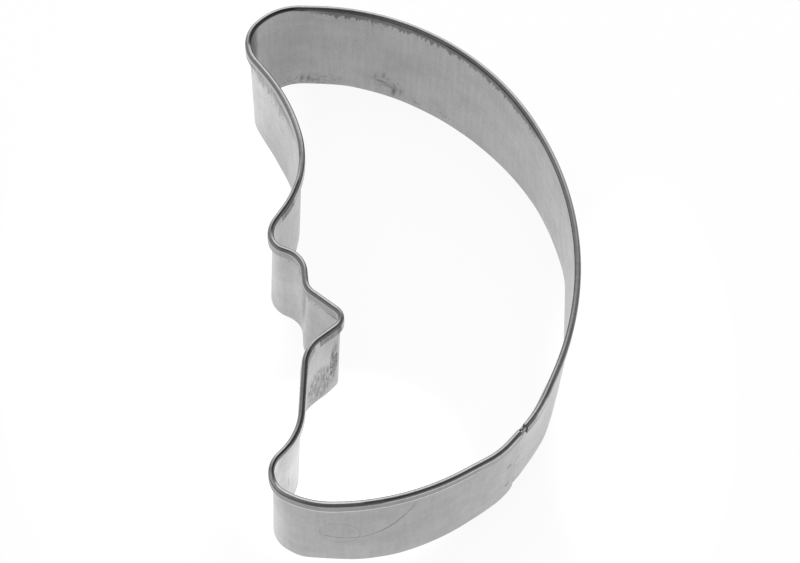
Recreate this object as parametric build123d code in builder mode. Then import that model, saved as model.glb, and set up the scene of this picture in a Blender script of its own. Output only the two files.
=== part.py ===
from build123d import *

import os
from math import radians, sin, tan

# Cookie cutter in the outline of a half moon with a face in profile.
# One strip of stainless sheet stands on edge and is bent round the outline.
# Its upper edge is folded over to a blunt rim, and its lower edge cuts.
# The two ends lap round one shoulder of the outline and are held by spot welds.
# Origin: on the table, under the middle of the outline. +Z up, +Y to the upper horn.

# Driving sizes, in millimetres
cutter_length = 71.4  # outline from horn to horn, at the middle of the sheet
wall_height = 22.0
sheet_thickness = 0.35
hem_height = 2.1  # folded rim, from its lower edge to its crown
hem_thickness = 0.9  # folded rim, over both layers
jog_rise = 0.9  # height in which the sheet steps inward to the folded rim
jog_radius = 0.35
hem_seam_gap = 1.0  # between the two ends of the folded rim
lap_run = 2.0  # straight part of each layer's end, past the shoulder bend
corner_share = 0.8  # share of that part which its rounded lower corner takes
layer_clearance = 0.05  # between the two layers of the lap
weld_count = 3  # two or more
weld_diameter = 1.0
weld_setback = 1.2  # from the outer layer's end to the weld's middle
weld_dimple = 0.03  # how far a weld's face lies below the sheet's
lowest_weld_height = 4.0
weld_top_gap = 0.35  # from the highest weld to the under layer's upper edge

# Bends of the outline, drawn for a cutter as long as drawn_length: the corner
# where the straight runs would meet, across and up, and the bend's radius.
# The list goes round from the seam, up the back and down the face.
drawn_length = 71.4
outline_bends = [
    (18.4, -21.3, 30.0),  # lower back
    (27.2, 2.3, 40.0),  # middle of the back
    (6.6, 37.0, 34.2),  # upper back
    (-19.2, 35.9, 7.7),  # upper horn, above
    (-24.2, 30.4, 4.3),  # upper horn, tip
    (-16.9, 22.1, 26.4),  # forehead
    (-12.8, 11.0, 13.8),  # brow
    (-17.5, 2.9, 4.0),  # bridge of the nose
    (-17.6, 0.1, 2.3),  # tip of the nose
    (-13.1, -1.3, 3.4),  # under the nose
    (-12.4, -5.8, 2.3),  # upper lip
    (-6.6, -9.7, 1.5),  # corner of the mouth
    (-11.8, -14.3, 4.8),  # lower lip
    (-11.7, -26.0, 8.5),  # chin
    (-16.9, -32.3, 3.3),  # lower horn, tip
    (-10.2, -35.4, 12.8),  # lower horn, below
    (1.9, -34.6, 35.6),  # under the lower horn
    (13.8, -27.1, 10.8),  # shoulder beside the seam
]
# Share of a straight run that its two bends may take up together
run_share = 0.99


def unit(start, finish):
    """Direction from one point to another."""
    return (finish - start).normalized()


def bend_radii(points, wanted):
    """Radii of the bends at all but the first and last point, cut to their runs."""
    reach = [0.0]
    for before, corner, after, radius in zip(points, points[1:], points[2:], wanted):
        turn = unit(before, corner).get_angle(unit(corner, after))
        reach.append(radius * tan(radians(turn) / 2))
    reach.append(0.0)
    room = []
    for index, (start, finish) in enumerate(zip(points, points[1:])):
        needed = reach[index] + reach[index + 1]
        free = run_share * (finish - start).length
        room.append(min(1.0, free / needed))
    return [radius * min(room[i], room[i + 1]) for i, radius in enumerate(wanted)]


# The outline's corners at this cutter's size, with the box round them centred
scale = cutter_length / drawn_length
corners = [Vector(across, up) * scale for across, up, _ in outline_bends]
radii = [radius * scale for _, _, radius in outline_bends]
with BuildLine(mode=Mode.PRIVATE) as loop:
    FilletPolyline(*corners, radius=bend_radii([corners[-1], *corners, corners[0]], radii), close=True)
middle = loop.line.bounding_box().center()
corners = [corner - middle for corner in corners]

# The seam, on the straight run between the shoulder and the lower back
shoulder = corners[-1]
onward = unit(corners[-2], shoulder)
away = unit(shoulder, corners[0])
outward = Vector(away.Y, -away.X)
shoulder_turn = radians(onward.get_angle(away))
strip_end = shoulder + away * (radii[-1] * tan(shoulder_turn / 2) + lap_run)
strip_start = strip_end + away * hem_seam_gap
route = [strip_start, *corners, strip_end]
bends = bend_radii(route, radii)

# Levels of the wall and the folded rim
hem_offset = (hem_thickness - sheet_thickness) / 2  # middle of a layer from the middle of the rim
hem_foot = wall_height - hem_height
crown_level = wall_height - hem_thickness / 2

# Under layer of the lap: it leaves the outline along the lower back's bend,
# and then runs inside the outer layer and round the shoulder with it
layer_step = sheet_thickness + layer_clearance
beyond = unit(corners[0], corners[1])
back_turn = radians(away.get_angle(beyond))
late_corner = corners[0] + beyond * (layer_step / sin(back_turn))
lap_root = late_corner + beyond * (bends[0] * tan(back_turn / 2) + layer_step)
under_seam = strip_start - outward * layer_step
under_shoulder = shoulder + (away - onward) * (layer_step / sin(shoulder_turn))
under_bend = bends[-1] - layer_step
lap_tip = under_shoulder - onward * (under_bend * tan(shoulder_turn / 2) + lap_run)
tab_top = hem_foot - jog_rise - layer_clearance

# Spot welds, one above the other, through both layers of the lap
layers_thickness = 2 * sheet_thickness + layer_clearance
weld_line = strip_end - away * weld_setback - outward * (layer_step / 2)
highest_weld_height = tab_top - weld_top_gap - weld_diameter / 2
weld_pitch = (highest_weld_height - lowest_weld_height) / (weld_count - 1)
weld_heights = [lowest_weld_height + weld_pitch * count for count in range(weld_count)]


def weld_plane(height):
    """Plane square to a weld's axis, midway between the outer faces of the lap."""
    return Plane(origin=weld_line + Vector(0, 0, height), x_dir=away, z_dir=outward)


# The strip: wall, step and folded rim in one section, carried round the outline
with BuildPart() as cutter_strip:
    with BuildLine() as outline:
        FilletPolyline(*route, radius=bends)
    with BuildSketch(Plane(origin=strip_start, x_dir=outward, z_dir=-away)):
        with BuildLine():
            FilletPolyline(
                (0, 0),
                (0, hem_foot - jog_rise),
                (-hem_offset, hem_foot),
                (-hem_offset, crown_level),
                radius=jog_radius,
            )
            RadiusArc((-hem_offset, crown_level), (hem_offset, crown_level), hem_offset)
            Line((hem_offset, crown_level), (hem_offset, hem_foot))
        trace(line_width=sheet_thickness)
    sweep(path=outline.wire())
    # Relief under the rim, where the wall leaves it for the lap: it is twice as wide
    # as the rim, so that it takes the wall and its step away right through
    with BuildSketch():
        with BuildLine():
            seam = strip_start - away * (hem_seam_gap / 2)
            FilletPolyline(seam, corners[0], lap_root, radius=bends[0])
        trace(line_width=2 * hem_thickness)
    extrude(amount=hem_foot, mode=Mode.SUBTRACT)
    # Under layer, first as high as the rim's foot, then low enough to pass the step
    with BuildSketch():
        with BuildLine():
            FilletPolyline(lap_root, late_corner, under_seam, radius=bends[0])
        trace(line_width=sheet_thickness)
    extrude(amount=hem_foot)
    with BuildSketch():
        with BuildLine():
            FilletPolyline(under_seam, under_shoulder, lap_tip, radius=under_bend)
        trace(line_width=sheet_thickness)
    extrude(amount=tab_top)
    # Rounded lower corners of both ends
    ends = [strip_end, lap_tip]
    end_edges = [cutter_strip.edges().sort_by_distance(end)[0] for end in ends]
    fillet(end_edges, corner_share * lap_run)
    # Holes that the welds fill
    for height in weld_heights:
        with BuildSketch(weld_plane(height)):
            Circle(weld_diameter / 2)
        extrude(amount=layers_thickness, both=True, mode=Mode.SUBTRACT)

welds = []
for height in weld_heights:
    with BuildPart() as weld:
        with BuildSketch(weld_plane(height)):
            Circle(weld_diameter / 2)
        extrude(amount=layers_thickness / 2 - weld_dimple, both=True)
    welds.append(weld)

# One file for each piece
os.makedirs("parts", exist_ok=True)
cutter_strip.part.label = "cutter_strip"
export_step(cutter_strip.part, "parts/cutter_strip.step")
for number, weld in enumerate(welds, start=1):
    weld.part.label = f"spot_weld_{number}"
    export_step(weld.part, f"parts/spot_weld_{number}.step")
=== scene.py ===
import bpy
import numpy as np
from bpy.props import FloatProperty, FloatVectorProperty, PointerProperty
from bpy.types import Operator, Panel, PropertyGroup
from mathutils import Matrix, Vector


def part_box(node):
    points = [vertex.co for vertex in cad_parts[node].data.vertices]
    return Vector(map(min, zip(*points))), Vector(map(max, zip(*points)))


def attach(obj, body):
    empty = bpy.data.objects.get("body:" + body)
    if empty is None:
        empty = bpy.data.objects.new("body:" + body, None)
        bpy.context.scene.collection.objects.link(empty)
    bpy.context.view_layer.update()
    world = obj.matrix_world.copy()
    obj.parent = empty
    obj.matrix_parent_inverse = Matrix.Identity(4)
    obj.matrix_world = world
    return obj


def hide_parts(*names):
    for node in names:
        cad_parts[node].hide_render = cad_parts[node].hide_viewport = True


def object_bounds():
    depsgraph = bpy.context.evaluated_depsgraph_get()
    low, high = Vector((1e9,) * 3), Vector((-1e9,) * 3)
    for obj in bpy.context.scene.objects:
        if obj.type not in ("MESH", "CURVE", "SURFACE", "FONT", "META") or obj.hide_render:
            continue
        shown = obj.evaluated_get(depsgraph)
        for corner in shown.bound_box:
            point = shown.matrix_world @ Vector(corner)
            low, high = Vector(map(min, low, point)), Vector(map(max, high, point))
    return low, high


bl_info = {
    "name": "Half Moon Cookie Cutter",
    "version": (1, 0, 0),
    "blender": (4, 5, 0),
    "location": "3D View > Sidebar > Cookie Cutter",
    "description": "Builds a stainless cookie cutter from one strip of sheet, with its welds and stage",
    "category": "Object",
}

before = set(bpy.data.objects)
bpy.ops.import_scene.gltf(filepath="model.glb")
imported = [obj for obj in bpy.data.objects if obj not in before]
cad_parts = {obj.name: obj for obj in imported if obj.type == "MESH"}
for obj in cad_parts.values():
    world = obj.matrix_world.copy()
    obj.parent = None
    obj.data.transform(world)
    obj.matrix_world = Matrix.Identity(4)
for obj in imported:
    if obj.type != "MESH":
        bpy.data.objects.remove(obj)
cad_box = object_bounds()

MM = 0.001

# The chart lays both faces of the sheet flat, in millimetres: the distance along the
# strip across, and the place in its section up, with the inner face over the outer
CHART_START = 20.0
OUTER, INNER = 0.0, 60.0

# Bends of the outline in millimetres: the corner where the straight runs would
# meet, across and up, and the bend's radius. They go round from the seam, up the
# back and down the face.
OUTLINE_BENDS = (
    (18.4, -21.3, 30.0),  # lower back
    (27.2, 2.3, 40.0),  # middle of the back
    (6.6, 37.0, 34.2),  # upper back
    (-19.2, 35.9, 7.7),  # upper horn, above
    (-24.2, 30.4, 4.3),  # upper horn, tip
    (-16.9, 22.1, 26.4),  # forehead
    (-12.8, 11.0, 13.8),  # brow
    (-17.5, 2.9, 4.0),  # bridge of the nose
    (-17.6, 0.1, 2.3),  # tip of the nose
    (-13.1, -1.3, 3.4),  # under the nose
    (-12.4, -5.8, 2.3),  # upper lip
    (-6.6, -9.7, 1.5),  # corner of the mouth
    (-11.8, -14.3, 4.8),  # lower lip
    (-11.7, -26.0, 8.5),  # chin
    (-16.9, -32.3, 3.3),  # lower horn, tip
    (-10.2, -35.4, 12.8),  # lower horn, below
    (1.9, -34.6, 35.6),  # under the lower horn
    (13.8, -27.1, 10.8),  # shoulder beside the seam
)
# Share of a straight run that its two bends may take up together
RUN_SHARE = 0.99
# Step of the points that the outline is worked out with, in millimetres
PATH_STEP = 0.02

# How far the cutting edge springs out from under the rim's inner layer, in
# millimetres: the distance along the strip from the seam, and the lean there
EDGE_LEAN = (
    (-8.0, 0.45),
    (-5.0, 0.3),
    (-1.0, 0.5),
    (3.0, 0.5),
    (7.5, 0.95),
    (13.0, 0.4),
    (17.0, 0.4),
    (26.0, 1.3),
    (32.0, 1.4),
    (43.0, 1.15),
    (51.0, 0.5),
    (55.0, 0.25),
    (60.0, 0.1),
    (66.0, 0.1),
    (75.0, 0.4),
    (80.5, 0.8),
    (84.0, 0.6),
    (88.0, 0.4),
    (92.0, 0.05),
    (96.0, 0.0),
    (99.0, 0.45),
    (103.0, 0.8),
    (107.0, 0.75),
    (113.0, 1.1),
    (124.5, 0.8),
    (127.0, 0.35),
    (130.0, 0.65),
    (132.0, 0.6),
    (140.5, 1.05),
    (145.0, 0.4),
    (147.0, 0.5),
    (149.0, 1.15),
    (152.0, 1.6),
    (156.0, 1.35),
    (160.0, 0.6),
    (165.0, 0.4),
    (171.0, 0.9),
    (176.0, 0.8),
    (184.0, 0.9),
    (193.0, 0.6),
    (197.5, 0.25),
    (202.5, 0.6),
)

# How far the wall's top steps out from under the rim's inner layer, in millimetres,
# by the distance along the strip from the seam
STEP_OUT = (
    (98.0, 0.0),
    (103.0, 0.5),
    (118.0, 0.5),
    (124.0, 0.0),
    (136.5, 0.0),
    (139.5, 0.55),
    (143.0, 0.5),
    (146.0, 0.5),
    (149.5, 0.78),
    (152.0, 0.6),
    (155.0, 0.7),
    (159.0, 0.4),
    (163.0, 0.0),
)

# Half the length over which both tables are eased, and the softness of the limit
# that the frame's box sets, in millimetres
WINDOW = 1.8
SOFT_LIMIT = 0.2

# Where the wall starts to come out of the lap at the seam, and over what length, in
# millimetres
ROOT_START = 1.0
ROOT_LENGTH = 14.0

# How far a weld's round edge lies under the sheet's face, in millimetres
WELD_SINK = 0.01


def length_size(name, description, millimetres):
    """Property for a length, with its default given in millimetres."""
    return FloatProperty(
        name=name,
        description=description,
        default=millimetres * MM,
        min=0.0,
        precision=5,
        unit="LENGTH",
    )


def colour_size(name, description, colour):
    """Property for a linear colour."""
    return FloatVectorProperty(
        name=name,
        description=description,
        default=colour,
        min=0.0,
        max=1.0,
        size=3,
        subtype="COLOR",
    )


class CutterSizes(PropertyGroup):
    """Sizes of the strip and its welds"""

    wall_height: length_size("Wall height", "From the table to the crown of the rim", 22.0)
    sheet_thickness: length_size("Sheet thickness", "Thickness of the strip", 0.35)
    edge_round: length_size("Edge rounding", "Radius worn onto the cut edges", 0.06)
    hem_height: length_size("Rim height", "From the rim's lower edge to its crown", 2.1)
    hem_thickness: length_size("Rim thickness", "Over both layers of the fold", 0.9)
    jog_rise: length_size("Step rise", "Height in which the sheet steps in to the rim", 0.9)
    hem_seam_gap: length_size("Rim gap", "Between the two ends of the rim", 1.0)
    lap_run: length_size("Lap run", "Straight part of each end past the shoulder", 2.0)
    corner_share: FloatProperty(
        name="Corner share",
        description="Share of the lap run in each rounded lower corner",
        default=0.8,
        min=0.0,
        max=1.0,
        subtype="FACTOR",
    )
    layer_clearance: length_size("Layer clearance", "Between the layers of the lap", 0.05)
    weld_diameter: length_size("Weld diameter", "Width of a spot weld", 1.0)
    weld_setback: length_size("Weld setback", "From the outer layer's end to a weld", 1.2)
    weld_proud: length_size("Weld height", "How far a weld stands out of the sheet", 0.015)
    station_step: length_size("Station step", "Between two cross sections of the strip", 0.32)


class CutterColours(PropertyGroup):
    """Colours of the metal and the stage"""

    steel: colour_size("Steel", "Colour of the sheet", (0.348, 0.348, 0.348))
    weld: colour_size("Weld", "Colour of the spot welds", (0.3, 0.295, 0.29))
    floor: colour_size("Floor", "Colour of the floor", (0.9, 0.9, 0.9))


# The outline


def bend_radii(points, wanted):
    """Radii of the bends at the inner points.

    Where the bends at the ends of a run need more than their share of it, both
    shrink in that proportion.
    """
    runs = np.diff(points, axis=0)
    turn = turns_of(runs)
    reach = np.concatenate(([0.0], wanted * np.abs(np.tan(turn / 2)), [0.0]))
    room = np.minimum(1.0, RUN_SHARE * np.hypot(*runs.T) / (reach[:-1] + reach[1:]))
    return wanted * np.minimum(room[:-1], room[1:])


def turns_of(runs):
    """Angle from each run to the next, counter-clockwise positive."""
    heading = np.arctan2(runs[:, 1], runs[:, 0])
    return (np.diff(heading) + np.pi) % (2 * np.pi) - np.pi


def trace_heading(points, radii):
    """Arc lengths and headings at which the runs and bends meet.

    The heading is level on a run and a ramp on a bend, so between these knots it
    is a straight line.
    """
    runs = np.diff(points, axis=0)
    turn = turns_of(runs)
    reach = np.concatenate(([0.0], radii * np.abs(np.tan(turn / 2)), [0.0]))
    pieces = np.zeros(2 * len(runs) - 1)
    pieces[0::2] = np.hypot(*runs.T) - reach[:-1] - reach[1:]
    pieces[1::2] = radii * np.abs(turn)
    start = np.arctan2(runs[0, 1], runs[0, 0])
    heading = start + np.concatenate(([0.0], np.cumsum(turn)))
    return np.concatenate(([0.0], np.cumsum(pieces))), np.repeat(heading, 2)


def walk(knots, headings, around, step):
    """Points of a closed path from its headings.

    The heading turns once round over the whole length. The position is the running
    sum of the heading's unit vector, and what fails to close is spread over the path.
    """
    count = int(np.ceil(around / step))
    distance = np.arange(count + 1) * around / count
    middle = (distance[1:] + distance[:-1]) / 2
    knots = np.append(knots, around)
    headings = np.append(headings, headings[0] + 2 * np.pi)
    heading = np.interp(middle, knots, headings)
    stride = np.column_stack((np.cos(heading), np.sin(heading))) * around / count
    points = np.concatenate((np.zeros((1, 2)), np.cumsum(stride, axis=0)))
    points -= points[-1] * (distance / around)[:, None]
    return distance, points


class Outline:
    """The strip's closed path, with the seam at distance 0."""

    def __init__(self, sizes):
        bends = np.array(OUTLINE_BENDS) * MM
        corners, wanted = bends[:, :2], bends[:, 2]
        ring = np.vstack((corners[-1:], corners, corners[:1]))
        runs = np.diff(ring, axis=0)
        reach = bend_radii(ring, wanted) * np.abs(np.tan(turns_of(runs) / 2))
        leave = corners[-1] + runs[-1] / np.hypot(*runs[-1]) * reach[-1]
        loop = np.vstack((leave, corners, leave))
        knots, headings = trace_heading(loop, bend_radii(loop, wanted))
        _, points = walk(knots, headings, knots[-1], PATH_STEP * MM)
        points += leave
        corners = corners - (points.max(axis=0) + points.min(axis=0)) / 2
        away = (corners[0] - corners[-1]) / np.hypot(*(corners[0] - corners[-1]))
        end = corners[-1] + away * (reach[-1] + sizes.lap_run)
        start = end + away * sizes.hem_seam_gap
        route = np.vstack((start, corners, end))
        radii = bend_radii(route, wanted)
        knots, headings = trace_heading(route, radii)
        self.strip_length = knots[-1]
        self.around = knots[-1] + sizes.hem_seam_gap
        self.shoulder_arc = knots[-2] - knots[-3]
        self.distance, self.points = walk(knots, headings, self.around, PATH_STEP * MM)
        self.points = self.points + start

    def at(self, distance):
        """Place and outward direction at a distance along the strip."""
        span = 2.5 * PATH_STEP * MM
        along = self.between(distance + span) - self.between(distance - span)
        along = along / np.hypot(*along)
        return self.between(distance), np.stack((along[1], -along[0]))

    def between(self, distance):
        """Points of the path, straight between its samples."""
        known = self.distance[:-1]
        axes = self.points[:-1].T
        return np.stack([np.interp(distance, known, axis, period=self.around) for axis in axes])


def ease(value):
    """Smooth step: three squares less two cubes, from 0 to 1."""
    value = np.clip(value, 0.0, 1.0)
    return value * value * (3 - 2 * value)


class Strip:
    """The middle surface of the strip, by distance along it and place in its section."""

    def __init__(self, sizes):
        self.sizes = sizes
        self.outline = Outline(sizes)
        self.fold = (sizes.hem_thickness - sizes.sheet_thickness) / 2
        self.foot = sizes.wall_height - sizes.hem_height
        self.crown = sizes.wall_height - sizes.hem_thickness / 2
        self.tab_top = self.foot - sizes.jog_rise - sizes.layer_clearance
        self.step_in = sizes.sheet_thickness + sizes.layer_clearance
        self.tab_length = sizes.hem_seam_gap + 2 * sizes.lap_run + self.outline.shoulder_arc
        self.corner = sizes.corner_share * sizes.lap_run
        self.section()

    def section(self):
        """Rows of the section: shares of the wall's height, then levels with their offsets.

        Below the step a row is a share of the wall, and rows lie closer at its ends. The
        step eases over to the fold's inner layer, the crown is half a circle, and the
        outer layer comes down to the foot.
        """
        wall = np.concatenate(([0.0, 0.006, 0.02], np.linspace(0.06, 0.985, 16), [1.0]))
        step = np.linspace(self.tab_top, self.foot + 0.1 * MM, 15)[1:]
        inner = np.linspace(step[-1], self.crown, 5)[1:]
        angle = np.linspace(0.0, np.pi, 15)[1:]
        outer = self.crown + (self.foot - self.crown) * np.array([0.25, 0.5, 0.75, 0.92, 1.0])
        rise = ease((step - self.tab_top) / (step[-1] - self.tab_top))
        self.wall_share = wall
        self.level = np.concatenate((step, inner, self.crown + self.fold * np.sin(angle), outer))
        self.to_rim = np.concatenate((rise, np.ones(len(inner) + len(angle) + len(outer))))
        self.rim_offset = np.concatenate(
            (
                np.full(len(step) + len(inner), -self.fold),
                -self.fold * np.cos(angle),
                np.full(len(outer), self.fold),
            )
        )

    def wall_offset(self, distance):
        """How far the wall stands outside the outline.

        It is flush with the rim's inner layer, and in the lap one layer further in.
        """
        out = ease((distance - ROOT_START * MM) / (ROOT_LENGTH * MM))
        return -self.fold - self.step_in * (1 - out)

    def eased(self, table, distance):
        """A table's value at a distance, eased by a short cosine window over it."""
        given = np.array(table) * MM
        nearby = np.linspace(-WINDOW, WINDOW, 11) * MM
        weight = np.cos(nearby / nearby.max() * np.pi / 2) ** 2
        weight = weight / weight.sum()
        return sum(
            np.interp(distance + shift, given[:, 0], given[:, 1]) * share
            for shift, share in zip(nearby, weight)
        )

    def lean(self, distance):
        """How far the cutting edge springs out, inside the frame's box.

        It is the soft minimum of the table's lean and the room in the box: half their
        sum, less half the length of their difference and the softness.
        """
        lean = self.eased(EDGE_LEAN, distance)
        point, outward = self.outline.at(distance)
        low, high = np.array(cad_box)[:, :2].reshape((2, 2) + (1,) * (point.ndim - 1))
        # A side that the outline runs square to sets no limit
        slope = np.maximum(np.abs(outward), 0.05)
        room = np.where(outward > 0, high - point, point - low) / slope
        free = room.min(axis=0) - self.sizes.sheet_thickness / 2 + self.fold
        return (lean + free - np.hypot(lean - free, SOFT_LIMIT * MM)) / 2

    def lower_edge(self, distance):
        """Height of the lower edge: a quarter circle at each end, and 0 between them."""
        ends = (distance + self.tab_length, self.outline.strip_length - distance)
        short = np.clip(self.corner - np.minimum(*ends), 0.0, self.corner)
        return self.corner - np.sqrt(self.corner**2 - short**2)

    def place(self, distance, offset, level):
        """Point at an offset outside the outline and a height."""
        point, outward = self.outline.at(distance)
        return np.stack((point[0] + outward[0] * offset, point[1] + outward[1] * offset, level), -1)

    def grid(self):
        """Middle surface as a grid of stations and rows, with its length coordinates."""
        end = self.outline.strip_length
        ease_in = self.corner * (1 - np.cos(np.linspace(0.0, np.pi / 2, 9)))
        count = int(np.ceil((end - self.corner) / self.sizes.station_step))
        body = np.linspace(0.0, end - self.corner, count)
        short = int(np.ceil((self.tab_length - self.corner) / self.sizes.station_step))
        tab = np.linspace(self.corner - self.tab_length, 0.0, short)[:-1]
        # Two stations close to the seam, where the rim starts
        near = np.array([0.1, 0.2]) * MM
        stations = np.concatenate(
            (ease_in[:-1] - self.tab_length, tab, body, near, end - ease_in[::-1][1:])
        )
        stations = np.unique(np.round(stations, 9))
        distance = stations[:, None]
        low = self.lower_edge(distance)
        wall_level = low + (self.tab_top - low) * self.wall_share
        level = np.hstack((wall_level, np.broadcast_to(self.level, (len(stations), len(self.level)))))
        share = np.concatenate((np.zeros(len(self.wall_share)), self.to_rim))
        rim = np.concatenate((np.full(len(self.wall_share), -self.fold), self.rim_offset))
        fall = np.clip(1 - level / self.tab_top, 0.0, 1.0)
        out = self.eased(STEP_OUT, distance)
        offset = (self.wall_offset(distance) + out) * (1 - share) + rim * share
        offset = offset + (self.lean(distance) - out) * fall
        points = self.place(np.broadcast_to(distance, level.shape), offset, level)
        climb = np.hypot(np.diff(rim), np.diff(level, axis=1))
        run = np.hstack((low, low + np.cumsum(climb, axis=1)))
        flat = np.stack((np.broadcast_to(distance + CHART_START * MM, run.shape), run), -1)
        # The under layer of the lap, at distances below 0, has no step and no rim
        on_wall = np.arange(level.shape[1] - 1) < len(self.wall_share) - 1
        kept = (stations[:-1, None] >= 0.0) | on_wall
        return points, flat, kept


def grid_normals(points):
    """Unit normals of a grid of points: the cross product of its two directions."""
    along = np.gradient(points, axis=0)
    up = np.gradient(points, axis=1)
    normal = np.cross(along, up)
    return normal / np.linalg.norm(normal, axis=-1, keepdims=True)


def sheet_shell(points, flat, kept, thickness, rounding):
    """Closed shell round a middle surface, with rounded cut edges.

    Both faces are the middle surface moved along its normal by half the thickness.
    Each cut edge is a quarter circle, a flat and a quarter circle from face to face.
    Returns the vertices, the quads and each vertex's place on the flat strip.
    """
    normal = grid_normals(points)
    number = np.arange(points[..., 0].size).reshape(points.shape[:2])
    quads = np.stack((number[:-1, :-1], number[1:, :-1], number[1:, 1:], number[:-1, 1:]), -1)[kept]
    used, quads = np.unique(quads, return_inverse=True)
    quads = quads.reshape(-1, 4)
    middle = points.reshape(-1, 3)[used]
    normal = normal.reshape(-1, 3)[used]
    flat = flat.reshape(-1, 2)[used]
    half = thickness / 2
    # Edges with one face only, in that face's own direction
    edges = np.stack((quads, np.roll(quads, -1, axis=1)), -1).reshape(-1, 2)
    size = len(middle)
    keys = edges.min(axis=1) * size + edges.max(axis=1)
    _, first, times = np.unique(keys, return_index=True, return_counts=True)
    rim = edges[first[times == 1]]
    # Outward direction in the sheet at each point of the cut edge: the sum of its two
    # sides' directions, brought to the length of their mitre
    along = middle[rim[:, 1]] - middle[rim[:, 0]]
    side = np.cross(along, normal[rim[:, 0]])
    side = side / np.linalg.norm(side, axis=1, keepdims=True)
    out = np.zeros_like(middle)
    np.add.at(out, rim[:, 0], side)
    np.add.at(out, rim[:, 1], side)
    brim = np.unique(rim)
    square = np.einsum("ij,ij->i", out[brim], out[brim])
    out[brim] *= (2 / np.maximum(square, 1.0))[:, None]
    slot = np.full(size, -1)
    slot[brim] = np.arange(len(brim))
    inset = middle.copy()
    inset[brim] -= out[brim] * rounding
    # Rings from one face round the cut edge to the other
    turn = np.radians([30.0, 60.0, 90.0])
    lift = half - rounding + rounding * np.cos(turn)
    reach = rounding * np.sin(turn) - rounding
    lift = np.concatenate((lift, -lift[::-1]))
    reach = np.concatenate((reach, reach[::-1]))
    rings = (
        middle[brim][None]
        + normal[brim][None] * lift[:, None, None]
        + out[brim][None] * reach[:, None, None]
    )
    vertices = np.vstack((inset + normal * half, inset - normal * half, rings.reshape(-1, 3)))
    ring_number = 2 * size + np.arange(rings[..., 0].size).reshape(rings.shape[:2])
    ladder = np.vstack((brim[None], ring_number, brim[None] + size))
    here, there = slot[rim[:, 0]], slot[rim[:, 1]]
    upper, lower = ladder[:-1], ladder[1:]
    walls = np.stack((upper[:, there], upper[:, here], lower[:, here], lower[:, there]), -1)
    faces = np.vstack((quads, quads[:, ::-1] + size, walls.reshape(-1, 4)))
    inside = flat + np.array((0.0, INNER)) * MM
    # The cut edge is charted in the millimetre below its point on the outer face
    share = np.linspace(0.0, 1.0, len(ring_number) + 2)[1:-1, None, None]
    edge = flat[brim][None] + np.array((0.0, -1.0)) * MM * share
    chart = np.vstack((flat, inside, edge.reshape(-1, 2)))
    return vertices, faces, chart


def make_piece(name, vertices, faces, chart, material):
    """Smooth mesh object from arrays and a list of faces, with its chart as a UV map."""
    mesh = bpy.data.meshes.new(name)
    mesh.from_pydata(vertices.tolist(), [], faces)
    layer = mesh.uv_layers.new(name="chart")
    corner = np.empty(len(mesh.loops), dtype=np.int32)
    mesh.loops.foreach_get("vertex_index", corner)
    layer.data.foreach_set("uv", chart[corner].astype(np.float32).ravel())
    mesh.polygons.foreach_set("use_smooth", np.ones(len(mesh.polygons), dtype=bool))
    mesh.materials.append(material)
    mesh.update()
    if mesh.validate():
        raise RuntimeError(f"{name} has faulty faces")
    piece = bpy.data.objects.new(name, mesh)
    bpy.context.scene.collection.objects.link(piece)
    return piece


# Materials


def add_node(tree, kind, place, **settings):
    """New shader node at a place in the tree, with its settings."""
    node = tree.nodes.new("ShaderNode" + kind)
    node.location = place
    for key, value in settings.items():
        setattr(node, key, value)
    return node


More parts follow.
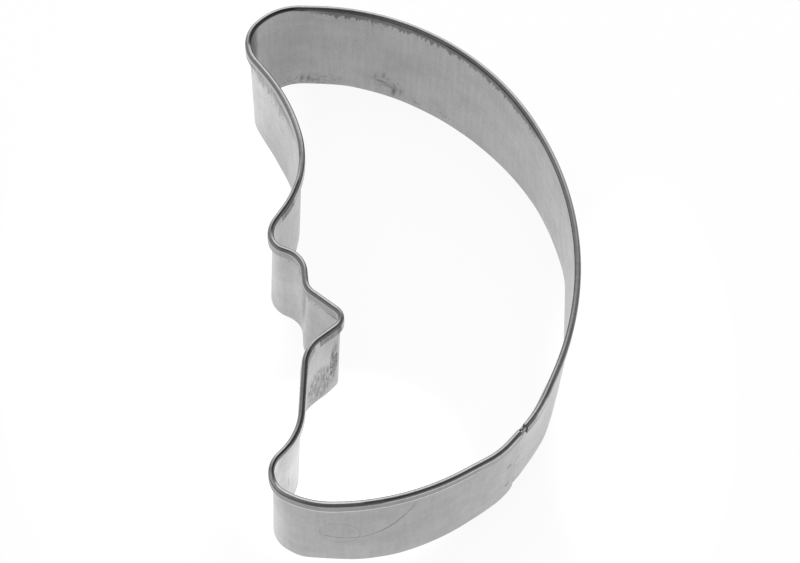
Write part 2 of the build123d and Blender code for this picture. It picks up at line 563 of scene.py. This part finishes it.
class Finish:
    """A metal's node tree, with masks laid out on a piece's chart in millimetres."""

    def __init__(self, name):
        self.material = bpy.data.materials.new(name)
        self.material.use_nodes = True
        self.tree = self.material.node_tree
        self.shader = self.tree.nodes["Principled BSDF"]
        chart = self.add("UVMap", uv_map="chart")
        self.flat = self.mapped(chart.outputs["UV"], scale=(1 / MM, 1 / MM, 1.0))
        split = self.add("SeparateXYZ")
        self.link(self.flat, split.inputs[0])
        self.along = split.outputs["X"]
        self.up = split.outputs["Y"]

    def add(self, kind, **settings):
        """New node, placed in a free column, with its settings."""
        count = len(self.tree.nodes) + 1
        place = (-300.0 - 180.0 * (count // 12), 600.0 - 160.0 * (count % 12))
        return add_node(self.tree, kind, place, **settings)

    def link(self, start, finish):
        """Connect a socket, or set a plain value."""
        if isinstance(start, bpy.types.NodeSocket):
            self.tree.links.new(start, finish)
        else:
            finish.default_value = start

    def mapped(self, vector, place=(0.0, 0.0), angle=0.0, scale=(1.0, 1.0, 1.0), kind="POINT"):
        """A vector moved, turned and scaled on the chart."""
        node = self.add("Mapping", vector_type=kind)
        node.inputs["Location"].default_value = (*place, 0.0)
        node.inputs["Rotation"].default_value = (0.0, 0.0, angle)
        node.inputs["Scale"].default_value = scale
        self.link(vector, node.inputs["Vector"])
        return node.outputs["Vector"]

    def math(self, operation, first, second=0.0):
        """Result of a Math node."""
        node = self.add("Math", operation=operation)
        for socket, value in zip(node.inputs, (first, second)):
            self.link(value, socket)
        return node.outputs[0]

    def times(self, *values):
        """All the values multiplied."""
        result = values[0]
        for value in values[1:]:
            result = self.math("MULTIPLY", result, value)
        return result

    def most(self, *values):
        """The greatest of the values."""
        result = values[0]
        for value in values[1:]:
            result = self.math("MAXIMUM", result, value)
        return result

    def spread(self, value, low, high, start=0.0, end=1.0):
        """A value from low to high eased over to start to end."""
        node = self.add("MapRange", interpolation_type="SMOOTHSTEP")
        names = ("Value", "From Min", "From Max", "To Min", "To Max")
        for name, given in zip(names, (value, low, high, start, end)):
            self.link(given, node.inputs[name])
        return node.outputs["Result"]

    def within(self, value, low, high, soft):
        """1 between low and high, with soft ends inside them."""
        rise = self.spread(value, low, low + soft)
        fall = self.spread(value, high - soft, high, 1.0, 0.0)
        return self.times(rise, fall)

    def noise(self, across, up, detail=3.0, rough=0.55, offset=0.0):
        """Noise on the chart with so many features a millimetre across and up."""
        node = self.add("TexNoise")
        node.inputs["Scale"].default_value = 1.0
        node.inputs["Detail"].default_value = detail
        node.inputs["Roughness"].default_value = rough
        local = self.mapped(self.flat, (offset, offset), 0.0, (across, up, 1.0))
        self.link(local, node.inputs["Vector"])
        return node.outputs["Fac"]

    def stretch(self, start, end, soft):
        """1 between two distances from the seam, along the strip."""
        return self.within(self.along, start + CHART_START, end + CHART_START, soft)

    def band(self, face, low, high, soft):
        """1 between two places in the section, on one face."""
        return self.within(self.up, face + low, face + high, soft)

    def reach(self, distance, height, face, size, angle=0.0):
        """Distance from the middle of an ellipse on a face, 1 on its edge."""
        place = (distance + CHART_START, height + face)
        local = self.mapped(self.flat, place, angle, (*size, 1.0), kind="TEXTURE")
        length = self.add("VectorMath", operation="LENGTH")
        self.link(local, length.inputs[0])
        return length.outputs["Value"]

    def spot(self, distance, height, face, size, angle=0.0):
        """1 in the middle of an ellipse on a face, 0 outside it."""
        return self.spread(self.reach(distance, height, face, size, angle), 0.0, 1.0, 1.0, 0.0)

    def gained(self, tone, mask, gain):
        """A tone, multiplied by the gain where the mask is 1."""
        return self.times(tone, self.spread(mask, 0.0, 1.0, 1.0, gain))

    def paint(self, colour, tone):
        """Metal of a colour, brighter or darker by the tone."""
        scaled = self.add("VectorMath", operation="SCALE")
        scaled.inputs[0].default_value = colour
        self.link(tone, scaled.inputs["Scale"])
        self.link(scaled.outputs["Vector"], self.shader.inputs["Base Color"])
        self.shader.inputs["Metallic"].default_value = 1.0


# Bands of the section: the crown, the fold's outer face and its cut edge
CROWN = (21.5, 22.5)
FOLD_FACE = (22.35, 23.95)
FOLD_LIP = (23.72, 24.4)

# Painted reflections along the crown: dark lines for the dim room that the crown
# mirrors, light lines for painted highlights. Columns: from, to, low, high, gain
CROWN_REFLECTIONS = (
    (62.0, 84.0, 21.62, 21.8, 2.0),
    (84.0, 95.0, 21.7, 22.0, 0.3),
    (94.5, 111.5, 21.93, 22.13, 1.4),
    (112.5, 118.0, 22.0, 22.35, 1.3),
    (116.0, 126.0, 21.84, 22.06, 0.3),
    (117.5, 126.0, 21.62, 21.82, 1.5),
    (139.5, 148.5, 21.82, 21.96, 0.5),
    (139.5, 148.5, 21.56, 21.8, 1.9),
    (147.0, 168.0, 21.78, 22.0, 0.3),
    (147.0, 168.0, 21.58, 21.76, 1.7),
    (160.5, 166.5, 21.56, 21.84, 2.2),
    (165.0, 180.0, 21.9, 22.14, 2.0),
    (181.0, 202.0, 22.02, 22.16, 0.5),
    (181.0, 202.0, 22.18, 22.42, 1.7),
    (-2.0, 5.5, 21.9, 22.04, 0.45),
    (1.2, 5.5, 22.1, 22.36, 2.2),
    (4.0, 8.0, 22.0, 22.14, 0.55),
)

# Broad painted patches of reflected light and shade on the walls: distance, height,
# face, radii, gain
LIGHT_PATCHES = (
    (95.5, 11.0, OUTER, (8.0, 18.0), 1.32),
    (128.5, 8.0, OUTER, (8.0, 18.0), 1.18),
    (132.6, 8.0, OUTER, (1.6, 20.0), 1.14),
    (183.0, 8.0, OUTER, (16.0, 24.0), 0.95),
    (36.0, 10.0, INNER, (20.0, 26.0), 0.93),
    (120.0, 8.0, INNER, (7.0, 18.0), 0.92),
    (146.5, 9.0, INNER, (5.0, 18.0), 1.12),
    (159.5, 10.0, INNER, (6.0, 16.0), 1.26),
    (166.8, 9.0, OUTER, (4.5, 20.0), 1.42),
    (89.0, 10.0, INNER, (9.0, 20.0), 0.82),
    (78.0, 10.0, INNER, (28.0, 30.0), 0.9),
    (3.5, 11.0, OUTER, (8.0, 18.0), 1.18),
)

# Hatched patches on the rim's inner face, up to one height: from, to, foot, depth
HATCHED_TOP = 21.8
HATCHED = (
    (142.4, 146.2, 19.7, 1.0),
    (146.9, 151.6, 19.95, 0.7),
    (119.3, 122.6, 19.9, 0.9),
)

# Ragged dark bands that hang from the rim: painted shade under the rim on the inner
# face, scuffs on the outer face. Columns: face, top, from, to, least and most hang, depth
HANGING_SHADE_AND_SCUFFS = (
    (INNER, 21.35, 42.0, 84.0, 0.5, 1.7, 0.52),
    (OUTER, 19.1, 90.6, 110.5, 0.8, 4.2, 0.32),
    (OUTER, 19.1, 126.5, 140.5, 0.5, 2.2, 0.32),
)

# Dotted smudges near the cutting edge: distance, height, radii, angle, depth
SMUDGES = (
    (71.4, 3.8, (3.4, 3.0), 0.2, 0.4),
    (67.6, 1.7, (2.4, 1.0), 0.1, 0.35),
    (62.1, 1.9, (2.2, 0.7), 0.0, 0.4),
    (59.6, 1.8, (0.9, 0.5), 0.0, 0.45),
    (84.2, 1.9, (0.4, 0.9), 0.0, 0.5),
    (83.2, 1.7, (0.5, 0.9), 0.0, 0.5),
    (82.4, 1.6, (6.5, 2.4), 0.0, 0.3),
)

# Dark spots all through: rubbed strokes in the smudges and in the lower horn, painted
# shade on the wall and rim beside the gap, and marks at the lap's end. Columns as for
# the light patches, with an angle before the depth
RUBS_AND_GAP_SHADE = (
    (70.5, 2.2, INNER, (0.6, 2.4), 0.1, 0.6),
    (71.0, 3.2, INNER, (2.4, 0.6), 0.1, 0.4),
    (72.4, 4.0, INNER, (2.2, 0.6), 0.1, 0.4),
    (72.1, 6.0, INNER, (0.4, 1.6), 0.1, 0.42),
    (73.4, 5.0, INNER, (0.4, 1.6), 0.1, 0.3),
    (69.4, 2.6, INNER, (0.4, 1.8), 0.1, 0.35),
    (84.2, 1.9, INNER, (0.4, 1.6), 0.1, 0.5),
    (83.2, 1.8, INNER, (0.4, 1.4), 0.1, 0.5),
    (81.8, 1.4, INNER, (0.5, 1.0), 0.1, 0.3),
    (161.9, 8.8, INNER, (0.16, 3.2), 0.0, 0.3),
    # painted shade on the wall and on the rim beside the gap
    (0.6, 17.6, OUTER, (1.3, 2.2), 0.0, 0.75),
    (0.4, 23.4, INNER, (3.0, 1.0), 0.0, 0.32),
    (0.2, 9.2, OUTER, (0.45, 0.5), 0.5, 0.22),
    (1.5, 5.4, OUTER, (0.45, 0.5), 0.5, 0.22),
    (0.3, 5.8, OUTER, (0.45, 0.5), 0.5, 0.22),
    (0.9, 3.0, OUTER, (0.45, 0.5), 0.5, 0.22),
)

# Upright rubs on the chin side of the mouth: distance, height, radii, depth
MOUTH_RUBS = (
    (143.4, 9.6, (1.1, 8.6), 0.75),
    (145.9, 5.6, (3.2, 7.6), 0.52),
)

# The long scratch: distance and height of its lowest point, its ends, the power and
# the gain with which it climbs, and its depth
SCRATCH_LOW = (177.5, 8.6)
SCRATCH_ENDS = (173.5, 186.7)
SCRATCH_POWER = 2.3
SCRATCH_CLIMB = 0.06
SCRATCH_DEPTH = 0.42


def sheet_tone(finish):
    """Cloudy tone, fine grain, faint streaks, painted crown reflections and painted light and shade."""
    cloudy = finish.spread(finish.noise(0.16, 0.16), 0.3, 0.7, 0.93, 1.07)
    grain = finish.spread(finish.noise(3.2, 3.2, 2.0, 0.7), 0.3, 0.7, 0.93, 1.07)
    streak = finish.spread(finish.noise(1.6, 0.12, 3.0, 0.6, 31.0), 0.3, 0.7, 0.95, 1.05)
    tone = finish.times(cloudy, grain, streak)
    # Painted shade darkens the fold's outer face from the brow to the seam, and a
    # painted highlight brightens its cut edge on the near side
    fold_shade = finish.times(finish.band(INNER, *FOLD_FACE, 0.12), finish.stretch(110.0, 197.0, 4.0))
    lip_highlight = finish.times(finish.band(INNER, *FOLD_LIP, 0.1), finish.stretch(164.0, 197.0, 4.0))
    tone = finish.gained(finish.gained(tone, fold_shade, 0.78), lip_highlight, 2.2)
    for start, end, low, high, gain in CROWN_REFLECTIONS:
        # gain under 1 paints a dark reflection, over 1 paints a highlight
        line = finish.times(finish.band(INNER, low, high, 0.06), finish.stretch(start, end, 1.5))
        tone = finish.gained(tone, line, gain)
    for distance, height, face, radii, gain in LIGHT_PATCHES:
        # gain over 1 paints reflected light, under 1 paints shade
        tone = finish.gained(tone, finish.spot(distance, height, face, radii), gain)
    return tone


def rim_marks_and_shade(finish):
    """Darkening on and under the rim: hatched patches, ragged hanging bands and cut ends.

    The ragged bands on the inner face are painted shade under the rim, those on the
    outer face are scuffs, and the cut ends beside the gap get painted shade.
    """
    hatch = finish.spread(finish.noise(3.4, 0.3, 2.0, 0.6, 7.0), 0.35, 0.65, 0.35, 0.62)
    for start, end, foot, depth in HATCHED:
        patch = finish.times(finish.stretch(start, end, 0.3), finish.band(INNER, foot, HATCHED_TOP, 0.12))
        yield finish.times(patch, hatch, depth)
    # A hatched rub under the upper lip
    yield finish.times(finish.spot(131.2, 17.0, OUTER, (0.8, 1.6)), hatch, 0.8)
    # Noise decides how far each ragged band hangs down
    torn = finish.spread(finish.noise(1.7, 0.25, 4.0, 0.8, 13.0), 0.38, 0.68)
    for face, top, start, end, least, most, depth in HANGING_SHADE_AND_SCUFFS:
        part = finish.stretch(start, end, 4.0)
        hang = finish.times(finish.spread(torn, 0.0, 1.0, least, most), part)
        foot = finish.math("SUBTRACT", face + top, hang)
        below = finish.spread(finish.math("SUBTRACT", finish.up, foot), 0.0, 0.25)
        on_face = finish.band(face, 12.0, top + 0.5, 0.1)
        yield finish.times(below, on_face, part, depth)
    forehead = finish.times(finish.stretch(90.6, 109.0, 4.0), finish.band(INNER, 22.9, 24.4, 0.5))
    yield finish.times(torn, forehead, 0.5)
    # Painted shade on the fold's cut ends beside the rim's gap
    body = finish.stretch(0.25, 201.3, 0.1)
    fold = finish.band(OUTER, 20.3, 24.4, 0.1)
    yield finish.times(finish.math("SUBTRACT", 1.0, body), fold, 0.6)


def wall_marks_and_shade(finish):
    """Dark smudges and rubs on the wall, and painted shade beside the rim's gap."""
    dots = finish.spread(finish.noise(1.7, 1.1, 4.0, 0.75, 3.0), 0.5, 0.62)
    for distance, height, radii, angle, depth in SMUDGES:
        patch = finish.spot(distance, height, INNER, radii, angle)
        yield finish.times(finish.spread(patch, 0.0, 0.45), dots, depth)
    for distance, height, face, radii, angle, depth in RUBS_AND_GAP_SHADE:
        yield finish.times(finish.spot(distance, height, face, radii, angle), depth)
    strokes = finish.spread(finish.noise(3.2, 0.5, 4.0, 0.75, 21.0), 0.38, 0.6)
    for distance, height, radii, depth in MOUTH_RUBS:
        patch = finish.spot(distance, height, INNER, radii, 0.05)
        yield finish.times(finish.spread(patch, 0.0, 0.5), strokes, depth)


def scratches(finish):
    """One long thin scratch on the near side, and a faint oval beside it.

    The scratch's height grows with a power of the distance from its lowest point. Its
    miss is divided by 1 and a part of its slope, so that it stays thin where it climbs.
    """
    lowest, height = SCRATCH_LOW
    away = finish.math("ABSOLUTE", finish.math("SUBTRACT", finish.along, lowest + CHART_START))
    climb = finish.times(finish.math("POWER", away, SCRATCH_POWER), SCRATCH_CLIMB)
    level = finish.math("ADD", climb, height)
    miss = finish.math("ABSOLUTE", finish.math("SUBTRACT", finish.up, level))
    slope = finish.times(finish.math("POWER", away, SCRATCH_POWER - 1), 0.125)
    thin = finish.math("DIVIDE", miss, finish.math("ADD", 1.0, slope))
    line = finish.spread(thin, 0.05, 0.16, 1.0, 0.0)
    breaks = finish.spread(finish.noise(0.9, 0.9, 2.0, 0.5, 17.0), 0.3, 0.6, 0.45, 1.0)
    yield finish.times(line, finish.stretch(*SCRATCH_ENDS, 1.2), breaks, SCRATCH_DEPTH)
    edge = finish.within(finish.reach(176.2, 10.4, OUTER, (2.6, 3.6), 0.2), 0.93, 1.05, 0.05)
    yield finish.times(edge, breaks, 0.16)


def sheet_finish(colours):
    """Rolled stainless sheet with painted shade and reflections on the folded rim, scuffs and one fine
    scratch.
    """
    finish = Finish("rolled_sheet")
    dark = finish.most(*rim_marks_and_shade(finish), *wall_marks_and_shade(finish), *scratches(finish))
    tone = finish.times(sheet_tone(finish), finish.math("SUBTRACT", 1.0, dark))
    finish.paint(colours.steel, tone)
    # Rougher on the fold's outer face and in the marks and painted shade, smoother on the crown
    rough = finish.spread(finish.noise(0.5, 0.5, 3.0, 0.6, 5.0), 0.3, 0.7, 0.24, 0.3)
    for mask, change in (
        (finish.band(INNER, *FOLD_FACE, 0.12), 0.1),
        (finish.band(INNER, *CROWN, 0.12), -0.1),
        (dark, 0.25),
    ):
        rough = finish.math("ADD", rough, finish.times(mask, change))
    finish.link(rough, finish.shader.inputs["Roughness"])
    # Fine lines that the rolls pressed in along the strip
    bump = finish.add("Bump")
    bump.inputs["Strength"].default_value = 0.25
    bump.inputs["Distance"].default_value = 0.02 * MM
    finish.link(finish.noise(0.5, 6.0, 3.0, 0.6, 11.0), bump.inputs["Height"])
    finish.link(bump.outputs["Normal"], finish.shader.inputs["Normal"])
    return finish.material


def weld_finish(colours):
    """Dull pressed skin of a spot weld, with a coarse grain."""
    finish = Finish("weld_skin")
    grain = finish.spread(finish.noise(4.0, 4.0, 3.0, 0.7), 0.3, 0.7, 0.75, 1.25)
    finish.paint(colours.weld, grain)
    finish.link(finish.spread(grain, 0.75, 1.25, 0.5, 0.35), finish.shader.inputs["Roughness"])
    return finish.material


# Pieces


class CUTTER_OT_strip(Operator):
    """Build the strip: wall, step and folded rim, lapped at the seam"""

    bl_idname = "cutter.strip"
    bl_label = "Folded Strip"
    bl_options = {"REGISTER", "UNDO"}

    def execute(self, context):
        sizes = context.scene.cutter_sizes
        points, flat, kept = Strip(sizes).grid()
        vertices, faces, chart = sheet_shell(points, flat, kept, sizes.sheet_thickness, sizes.edge_round)
        # A leaning wall's inner corner would dip just below the table
        vertices[:, 2] = np.maximum(vertices[:, 2], 0.0)
        material = sheet_finish(context.scene.cutter_colours)
        piece = make_piece("folded_strip", vertices, faces.tolist(), chart, material)
        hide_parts("cutter_strip")
        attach(piece, "root")
        return {"FINISHED"}


class CUTTER_OT_welds(Operator):
    """Build the spot welds through both layers of the lap"""

    bl_idname = "cutter.welds"
    bl_label = "Spot Welds"
    bl_options = {"REGISTER", "UNDO"}

    def execute(self, context):
        sizes = context.scene.cutter_sizes
        strip = Strip(sizes)
        material = weld_finish(context.scene.cutter_colours)
        names = sorted(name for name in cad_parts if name.startswith("spot_weld"))
        if not names:
            raise RuntimeError("the frame has no spot welds")
        for name in names:
            low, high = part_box(name)
            level = (low.z + high.z) / 2
            vertices, faces, chart = weld_button(strip, level)
            piece = make_piece(name.replace("spot", "pressed"), vertices, faces, chart, material)
            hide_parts(name)
            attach(piece, "root")
        return {"FINISHED"}


def weld_button(strip, level):
    """Round button through both layers, with a low crown on each face.

    Radius and angle make a disc. Its height over the sheet is a low dome that ends
    just under the sheet's face, and both domes meet in a straight side.
    """
    sizes = strip.sizes
    radius = sizes.weld_diameter / 2
    angle = np.linspace(0.0, 2 * np.pi, 48, endpoint=False)
    ring = np.array([0.15, 0.4, 0.65, 0.82, 0.94, 1.0])
    dome = sizes.weld_proud * (1 - ring**4) - WELD_SINK * MM * ring**8
    outer_face = sizes.sheet_thickness / 2
    inner_face = -strip.step_in - sizes.sheet_thickness / 2
    across = np.concatenate((ring, ring[::-1]))
    lift = np.concatenate((outer_face + dome, inner_face - dome[::-1]))
    run = strip.outline.strip_length - sizes.weld_setback
    distance = run + radius * across[:, None] * np.cos(angle)
    height = level + radius * across[:, None] * np.sin(angle)
    # Each layer has its own lean, so each half of the button follows its layer
    turns = np.repeat((0.0, 1.0), len(ring))[:, None] * strip.outline.around
    offset = lift[:, None] + strip.lean(distance - turns) * (1 - height / strip.tab_top) - strip.fold
    points = strip.place(distance, offset, height)
    lean = strip.lean(np.array((run, run - strip.outline.around)))
    skins = np.array((outer_face + sizes.weld_proud, inner_face - sizes.weld_proud))
    offset = skins + lean * (1 - level / strip.tab_top) - strip.fold
    poles = strip.place(np.array((run, run)), offset, np.array((level, level)))
    count = len(angle)
    number = np.arange(len(across) * count).reshape(-1, count)
    after = np.roll(number, -1, axis=1)
    quads = np.stack((number[:-1], number[1:], after[1:], after[:-1]), -1).reshape(-1, 4)
    top = np.stack((np.full(count, number.size), number[0], after[0]), -1)
    base = np.stack((np.full(count, number.size + 1), after[-1], number[-1]), -1)
    faces = quads.tolist() + top.tolist() + base.tolist()
    vertices = np.vstack((points.reshape(-1, 3), poles))
    chart = np.stack((distance, height), -1).reshape(-1, 2)
    chart = np.vstack((chart, ((run, level), (run, level))))
    return vertices, faces, chart


# Stage

# Level of the room where no light stands, and its soft lights: the direction they
# come from, the cosines at which each starts and is full, and what it adds
DIM_LEVEL = 0.12
ROOM_LIGHTS = (
    ((0.0, 0.94, 0.34), 0.55, 0.95, 2.1),
    ((-1.0, 0.0, 0.3), 0.2, 0.95, 0.5),
    ((1.0, 0.0, 0.3), 0.2, 0.95, 0.3),
    ((0.0, -1.0, 0.0), 0.5, 0.95, 0.15),
)

# Floor: half its side in metres, and the share of its own glow in what eyes and
# mirrors see of it
FLOOR_REACH = 3.0
FLOOR_GLOW = 0.92
# Where the mirrored floor grows dim, in front of the cutter and beside it: start and
# end in metres, and the levels there
FRONT_FADE = (-0.045, -0.1, 1.0, 0.3)
SIDE_FADE = (0.035, 0.09, 1.0, 0.6)
# Brighter pools on the floor that only mirrors see: middle and radii in metres, gain,
# and the share of the radii at which each starts and ends to fall off
FLOOR_POOLS = (
    ((-0.04, 0.01), (0.024, 0.05), 1.3),
    ((-0.006, -0.024), (0.016, 0.014), 1.35),
    ((0.035, -0.01), (0.014, 0.03), 1.2),
)
POOL_EDGE = (0.3, 1.2)

# Soft lamp over the cutter: place and side in metres, power in watts
LAMP_PLACE = (-0.1, 0.1, 0.9)
LAMP_SIDE = 0.8
LAMP_POWER = 5.0

# Camera: place in metres, how far it looks down and rolls in degrees, lens and sensor
# in millimetres
CAMERA_PLACE = (-0.0003279, -0.125781, 0.296717)
CAMERA_TILT = 66.22909
CAMERA_ROLL = 3.22340
CAMERA_LENS = 103.5
CAMERA_SENSOR = 36.0


class CUTTER_OT_stage(Operator):
    """Set up the floor, the world, the lamp and the camera"""

    bl_idname = "cutter.stage"
    bl_label = "Stage"
    bl_options = {"REGISTER", "UNDO"}

    def execute(self, context):
        scene = context.scene
        scene.view_settings.view_transform = "Standard"
        lay_floor(scene, scene.cutter_colours)
        light_world(scene)
        hang_lamp(scene)
        place_camera(scene)
        return {"FINISHED"}


def joined(tree, operation, place, first, second):
    """Result of a Math node on two sockets."""
    node = add_node(tree, "Math", place, operation=operation)
    tree.links.new(first, node.inputs[0])
    tree.links.new(second, node.inputs[1])
    return node.outputs[0]


def faded(tree, value, place, start, end, first, last):
    """A socket's value from start to end, eased over to first to last."""
    node = add_node(tree, "MapRange", place, interpolation_type="SMOOTHSTEP")
    for name, given in zip(("From Min", "From Max", "To Min", "To Max"), (start, end, first, last)):
        node.inputs[name].default_value = given
    tree.links.new(value, node.inputs["Value"])
    return node.outputs["Result"]


def mirrored_floor(tree):
    """Level of the floor in mirrors: dimmer in front and far beside, with its pools."""
    link = tree.links.new
    coordinate = add_node(tree, "TexCoord", (-1500, -200))
    split = add_node(tree, "SeparateXYZ", (-1300, 100))
    beside = add_node(tree, "Math", (-1100, 100), operation="ABSOLUTE")
    link(coordinate.outputs["Object"], split.inputs[0])
    link(split.outputs["X"], beside.inputs[0])
    front = faded(tree, split.outputs["Y"], (-900, 100), *FRONT_FADE)
    sides = faded(tree, beside.outputs[0], (-900, -150), *SIDE_FADE)
    level = joined(tree, "MULTIPLY", (-600, 0), front, sides)
    for row, (middle, radii, gain) in enumerate(FLOOR_POOLS):
        height = -500 - 400 * row
        oval = add_node(tree, "Mapping", (-1300, height), vector_type="TEXTURE")
        oval.inputs["Location"].default_value = (*middle, 0.0)
        oval.inputs["Scale"].default_value = (*radii, 1.0)
        length = add_node(tree, "VectorMath", (-1100, height), operation="LENGTH")
        link(coordinate.outputs["Object"], oval.inputs["Vector"])
        link(oval.outputs["Vector"], length.inputs[0])
        pool = faded(tree, length.outputs["Value"], (-900, height), *POOL_EDGE, gain, 1.0)
        level = joined(tree, "MULTIPLY", (-600, height), level, pool)
    return level


def floor_finish(colours):
    """Pale floor that looks white and keeps a faint shadow.

    Eyes see a glow of 1, mirrors see the mirrored floor's level, and other light finds
    a plain matt surface.
    """
    material = bpy.data.materials.new("pale_floor")
    material.use_nodes = True
    tree = material.node_tree
    tree.nodes.clear()
    link = tree.links.new
    out = add_node(tree, "OutputMaterial", (900, 0))
    paint = add_node(tree, "BsdfDiffuse", (300, 0))
    paint.inputs["Color"].default_value = (*colours.floor, 1.0)
    glow = add_node(tree, "Emission", (300, -200))
    path = add_node(tree, "LightPath", (-900, 300))
    eye, mirror = path.outputs["Is Camera Ray"], path.outputs["Is Glossy Ray"]
    strength = joined(tree, "MAXIMUM", (-100, -200), mirrored_floor(tree), eye)
    share = add_node(tree, "Math", (300, 200), operation="MULTIPLY")
    share.inputs[1].default_value = FLOOR_GLOW
    mix = add_node(tree, "MixShader", (600, 0))
    link(strength, glow.inputs["Strength"])
    link(joined(tree, "MAXIMUM", (-100, 200), eye, mirror), share.inputs[0])
    link(share.outputs[0], mix.inputs["Fac"])
    link(paint.outputs[0], mix.inputs[1])
    link(glow.outputs[0], mix.inputs[2])
    link(mix.outputs[0], out.inputs["Surface"])
    return material


def lay_floor(scene, colours):
    """Large level floor under the cutter."""
    far = FLOOR_REACH
    mesh = bpy.data.meshes.new("floor")
    corners = [(-far, -far, 0.0), (far, -far, 0.0), (far, far, 0.0), (-far, far, 0.0)]
    mesh.from_pydata(corners, [], [(0, 1, 2, 3)])
    mesh.materials.append(floor_finish(colours))
    floor = bpy.data.objects.new("floor", mesh)
    scene.collection.objects.link(floor)


def light_world(scene):
    """World that is white to the camera, and a soft room to mirrors.

    The room is bright low behind the far side, grey at the sides and dim over the
    near side.
    """
    world = bpy.data.worlds.new("studio")
    world.use_nodes = True
    scene.world = world
    tree = world.node_tree
    tree.nodes.clear()
    link = tree.links.new
    out = add_node(tree, "OutputWorld", (900, 0))
    coordinate = add_node(tree, "TexCoord", (-1100, 0))
    total = add_node(tree, "Value", (-500, 200)).outputs[0]
    total.default_value = DIM_LEVEL
    for row, (direction, start, full, gain) in enumerate(ROOM_LIGHTS):
        toward = add_node(tree, "VectorMath", (-800, -300 * row), operation="DOT_PRODUCT")
        toward.inputs[1].default_value = Vector(direction).normalized()
        link(coordinate.outputs["Generated"], toward.inputs[0])
        light = faded(tree, toward.outputs["Value"], (-500, -300 * row), start, full, 0.0, gain)
        total = joined(tree, "ADD", (-200, -300 * row), light, total)
    around = add_node(tree, "Background", (300, 0))
    white = add_node(tree, "Background", (300, -200))
    white.inputs["Color"].default_value = (1.0, 1.0, 1.0, 1.0)
    path = add_node(tree, "LightPath", (300, 400))
    mix = add_node(tree, "MixShader", (600, 0))
    link(total, around.inputs["Strength"])
    link(path.outputs["Is Camera Ray"], mix.inputs["Fac"])
    link(around.outputs[0], mix.inputs[1])
    link(white.outputs[0], mix.inputs[2])
    link(mix.outputs[0], out.inputs["Surface"])


def hang_lamp(scene):
    """Square soft lamp that looks straight down and that mirrors don't see."""
    light = bpy.data.lights.new("soft_lamp", "AREA")
    light.shape = "RECTANGLE"
    light.size = light.size_y = LAMP_SIDE
    light.energy = LAMP_POWER
    lamp = bpy.data.objects.new("soft_lamp", light)
    lamp.location = LAMP_PLACE
    lamp.visible_glossy = False
    scene.collection.objects.link(lamp)


def place_camera(scene):
    """Camera above the near side, turned a little, with a long lens."""
    tilt, roll = np.radians((CAMERA_TILT, CAMERA_ROLL))
    right = Vector((1.0, 0.0, 0.0))
    up = Vector((0.0, np.sin(tilt), np.cos(tilt)))
    back = Vector((0.0, -np.cos(tilt), np.sin(tilt)))
    across = right * np.cos(roll) + up * np.sin(roll)
    upward = up * np.cos(roll) - right * np.sin(roll)
    turn = Matrix((across, upward, back)).transposed().to_4x4()
    data = bpy.data.cameras.new("camera")
    data.lens = CAMERA_LENS
    data.sensor_width = CAMERA_SENSOR
    data.clip_start = 0.01
    camera = bpy.data.objects.new("camera", data)
    camera.matrix_world = Matrix.Translation(CAMERA_PLACE) @ turn
    scene.collection.objects.link(camera)
    scene.camera = camera


class CUTTER_PT_panel(Panel):
    """Sidebar panel with the cutter's sizes and its pieces"""

    bl_label = "Cookie Cutter"
    bl_idname = "CUTTER_PT_panel"
    bl_space_type = "VIEW_3D"
    bl_region_type = "UI"
    bl_category = "Cookie Cutter"

    def draw(self, context):
        layout = self.layout
        layout.use_property_split = True
        for group in (context.scene.cutter_sizes, context.scene.cutter_colours):
            column = layout.column()
            for name in group.__annotations__:
                column.prop(group, name)
        for piece in PIECES:
            layout.operator(piece.bl_idname)


PIECES = (CUTTER_OT_strip, CUTTER_OT_welds, CUTTER_OT_stage)
CLASSES = (CutterSizes, CutterColours, *PIECES, CUTTER_PT_panel)


def register():
    """Register the classes and hang the settings on the scene."""
    for item in CLASSES:
        bpy.utils.register_class(item)
    bpy.types.Scene.cutter_sizes = PointerProperty(type=CutterSizes)
    bpy.types.Scene.cutter_colours = PointerProperty(type=CutterColours)


def unregister():
    """Remove the settings and the classes."""
    del bpy.types.Scene.cutter_colours
    del bpy.types.Scene.cutter_sizes
    for item in reversed(CLASSES):
        bpy.utils.unregister_class(item)


def main():
    """Build every piece and the stage."""
    register()
    bpy.ops.cutter.strip()
    bpy.ops.cutter.welds()
    bpy.ops.cutter.stage()


if __name__ == "__main__":
    main()
